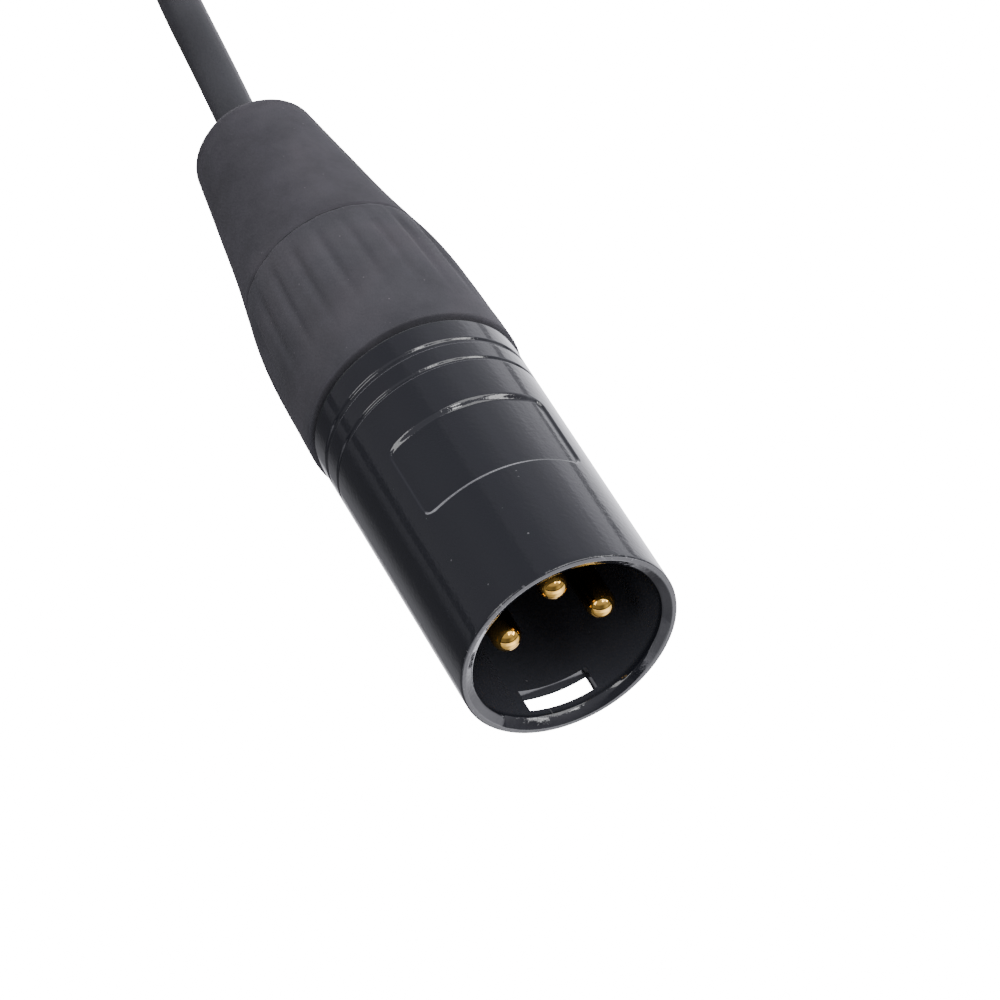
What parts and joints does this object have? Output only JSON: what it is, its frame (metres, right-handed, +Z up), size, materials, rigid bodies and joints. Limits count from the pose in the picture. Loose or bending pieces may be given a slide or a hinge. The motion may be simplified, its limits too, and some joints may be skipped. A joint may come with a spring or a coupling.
{
  "type": "usb to dmx cable",
  "caption": "Black cable connector for stage lighting data: glossy metal shell with round pins, fluted rubber boot, and a tied cable that ends in a computer plug.",
  "frame": {"origin": "centre of the mouth's front face, on the connector's axis", "axes": "+X out of the mouth along the connector's axis, +Z up with the latch window below, +Y to the side of pin 1"},
  "size_m": [0.2137, 0.0332, 0.0228],
  "materials": {
    "shell_enamel": "gloss black",
    "insert_plastic": "moulded",
    "contact_gold": "polished",
    "clamp_plastic": "moulded",
    "collar_plastic": "soft matte",
    "tail_rubber": "matte",
    "cable_jacket": "satin",
    "core_sleeve": "extruded",
    "tie_fabric": "woven",
    "plug_steel": "nickel plated",
    "tongue_plastic": "moulded",
    "housing_plastic": "fine grain",
    "board_laminate": "solder mask",
    "chip_epoxy": "moulded",
    "crystal_can": "satin"
  },
  "bodies": {
    "root": {"board_crystal": "crystal_can", "board_wire_1": "core_sleeve", "board_wire_2": "core_sleeve", "board_wire_3": "core_sleeve", "bridge_chip": "chip_epoxy", "cable_clamp": "clamp_plastic", "cable_hank": "cable_jacket", "cable_lead": "cable_jacket", "cable_plug_lead": "cable_jacket", "contact_pin_1": "contact_gold", "contact_pin_2": "contact_gold", "contact_pin_3": "contact_gold", "hank_tie": "tie_fabric", "jacket_in_connector": "cable_jacket", "jacket_in_plug": "cable_jacket", "line_driver_chip": "chip_epoxy", "pin_core_1": "core_sleeve", "pin_core_2": "core_sleeve", "pin_core_3": "core_sleeve", "pin_insert": "insert_plastic", "shell_contact": "contact_gold", "usb_board": "board_laminate", "usb_contact_1": "contact_gold", "usb_contact_2": "contact_gold", "usb_contact_3": "contact_gold", "usb_contact_4": "contact_gold", "usb_housing_bottom": "housing_plastic", "usb_housing_top": "housing_plastic", "usb_relief": "tail_rubber", "usb_shell": "plug_steel", "usb_tongue": "tongue_plastic", "xlr_shell": "shell_enamel"},
    "tail": {"rubber_tail": "tail_rubber"},
    "collar": {"fluted_collar": "collar_plastic"}
  },
  "joints": [
    {"name": "tail_slide", "type": "slide", "parent": "root", "child": "tail", "axis": [-1, 0, 0], "range_m": [0, 0.006]},
    {"name": "collar_turn", "type": "hinge", "parent": "tail", "child": "collar", "pos_m": [-0.036, 0, 0], "axis": [-1, 0, 0], "range_deg": [0, 2160]}
  ],
  "couplings": [
    {"joint": "tail_slide", "follows": "collar_turn", "m_per_rad": 0.00015915}
  ]
}
